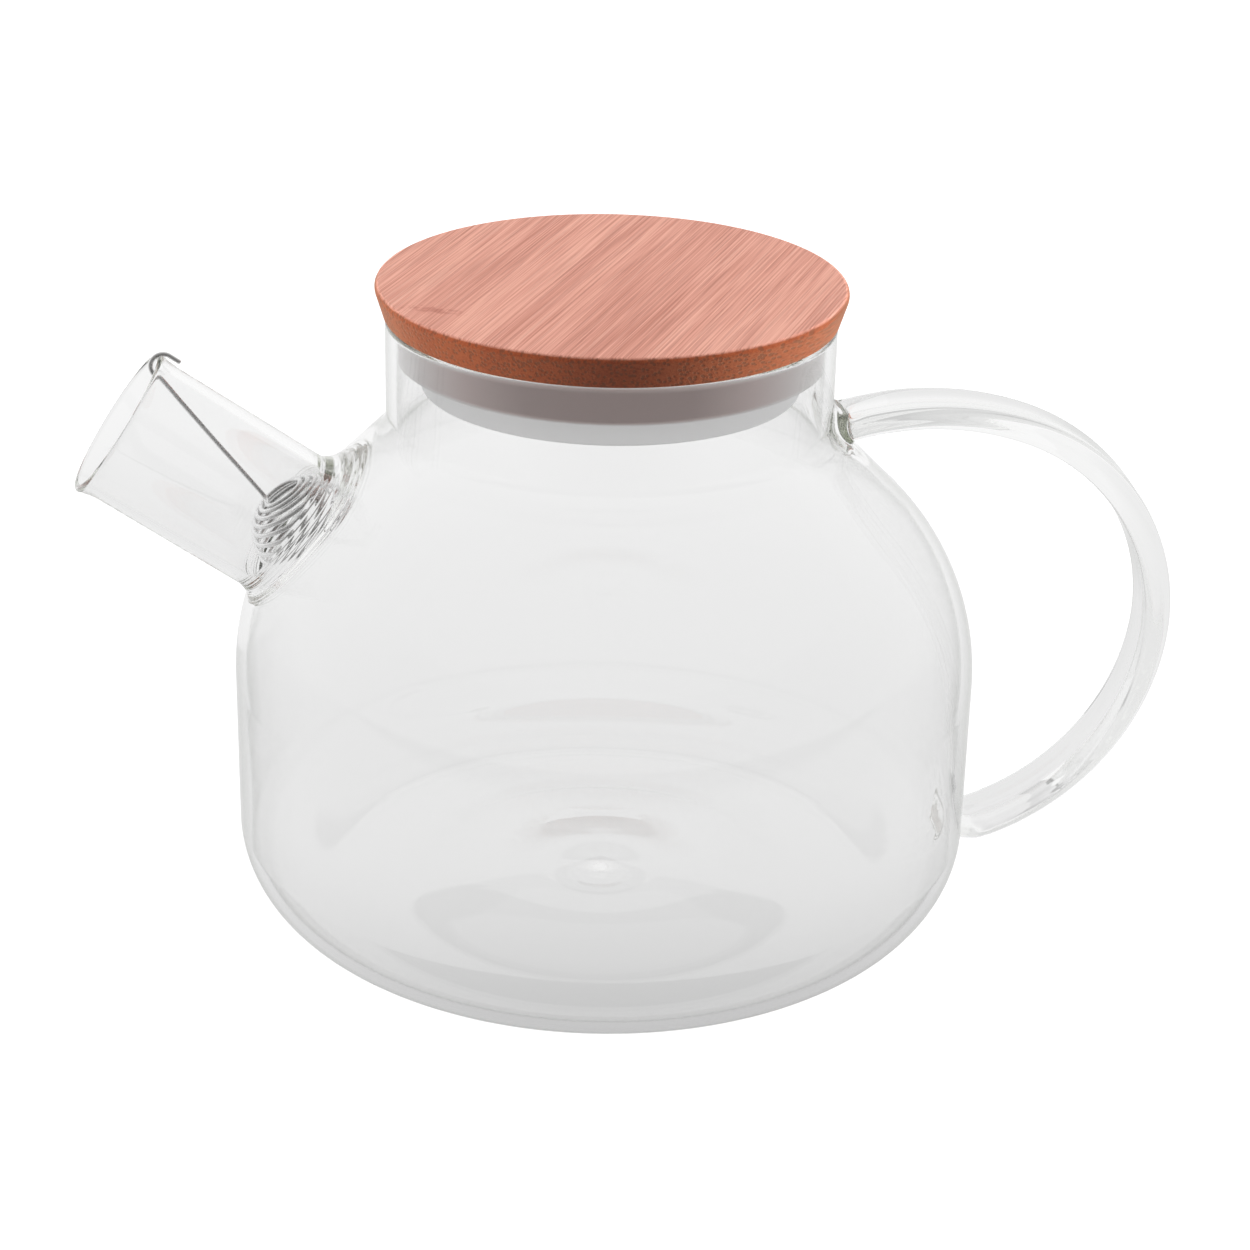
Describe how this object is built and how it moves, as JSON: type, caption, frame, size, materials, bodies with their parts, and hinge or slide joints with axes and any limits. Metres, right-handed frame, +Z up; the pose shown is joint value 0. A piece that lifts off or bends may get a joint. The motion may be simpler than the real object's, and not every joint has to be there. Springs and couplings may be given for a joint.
{
  "type": "glass teapot",
  "caption": "Clear glass teapot with a straight angled spout, a flat strap handle, a bamboo lid with a silicone seal and a wire coil strainer in the spout.",
  "frame": {"origin": "centre of the foot ring, on the surface that the pot stands on", "axes": "+Z up along the pot's axis, the spout towards -X, the handle towards +X"},
  "size_m": [0.2068, 0.14, 0.1236],
  "materials": {
    "clear_glass": "clear, fire polished",
    "bamboo": "oiled, strip grain",
    "silicone": "translucent, satin",
    "steel_wire": "bright drawn wire"
  },
  "bodies": {
    "pot": {"glass_body": "clear_glass", "spout_tube": "clear_glass", "spout_collar": "clear_glass", "handle_strap": "clear_glass", "handle_upper_pad": "clear_glass", "handle_lower_pad": "clear_glass"},
    "lid": {"lid_board": "bamboo", "lid_plug": "bamboo", "lid_seal": "silicone"},
    "strainer": {"spout_strainer": "steel_wire"}
  },
  "joints": [
    {"name": "lid_lift", "type": "slide", "parent": "pot", "child": "lid", "axis": [0, 0, 1], "range_m": [0, 0.06]},
    {"name": "strainer_pull", "type": "slide", "parent": "pot", "child": "strainer", "axis": [-0.8251, 0, 0.565], "range_m": [0, 0.06]}
  ]
}
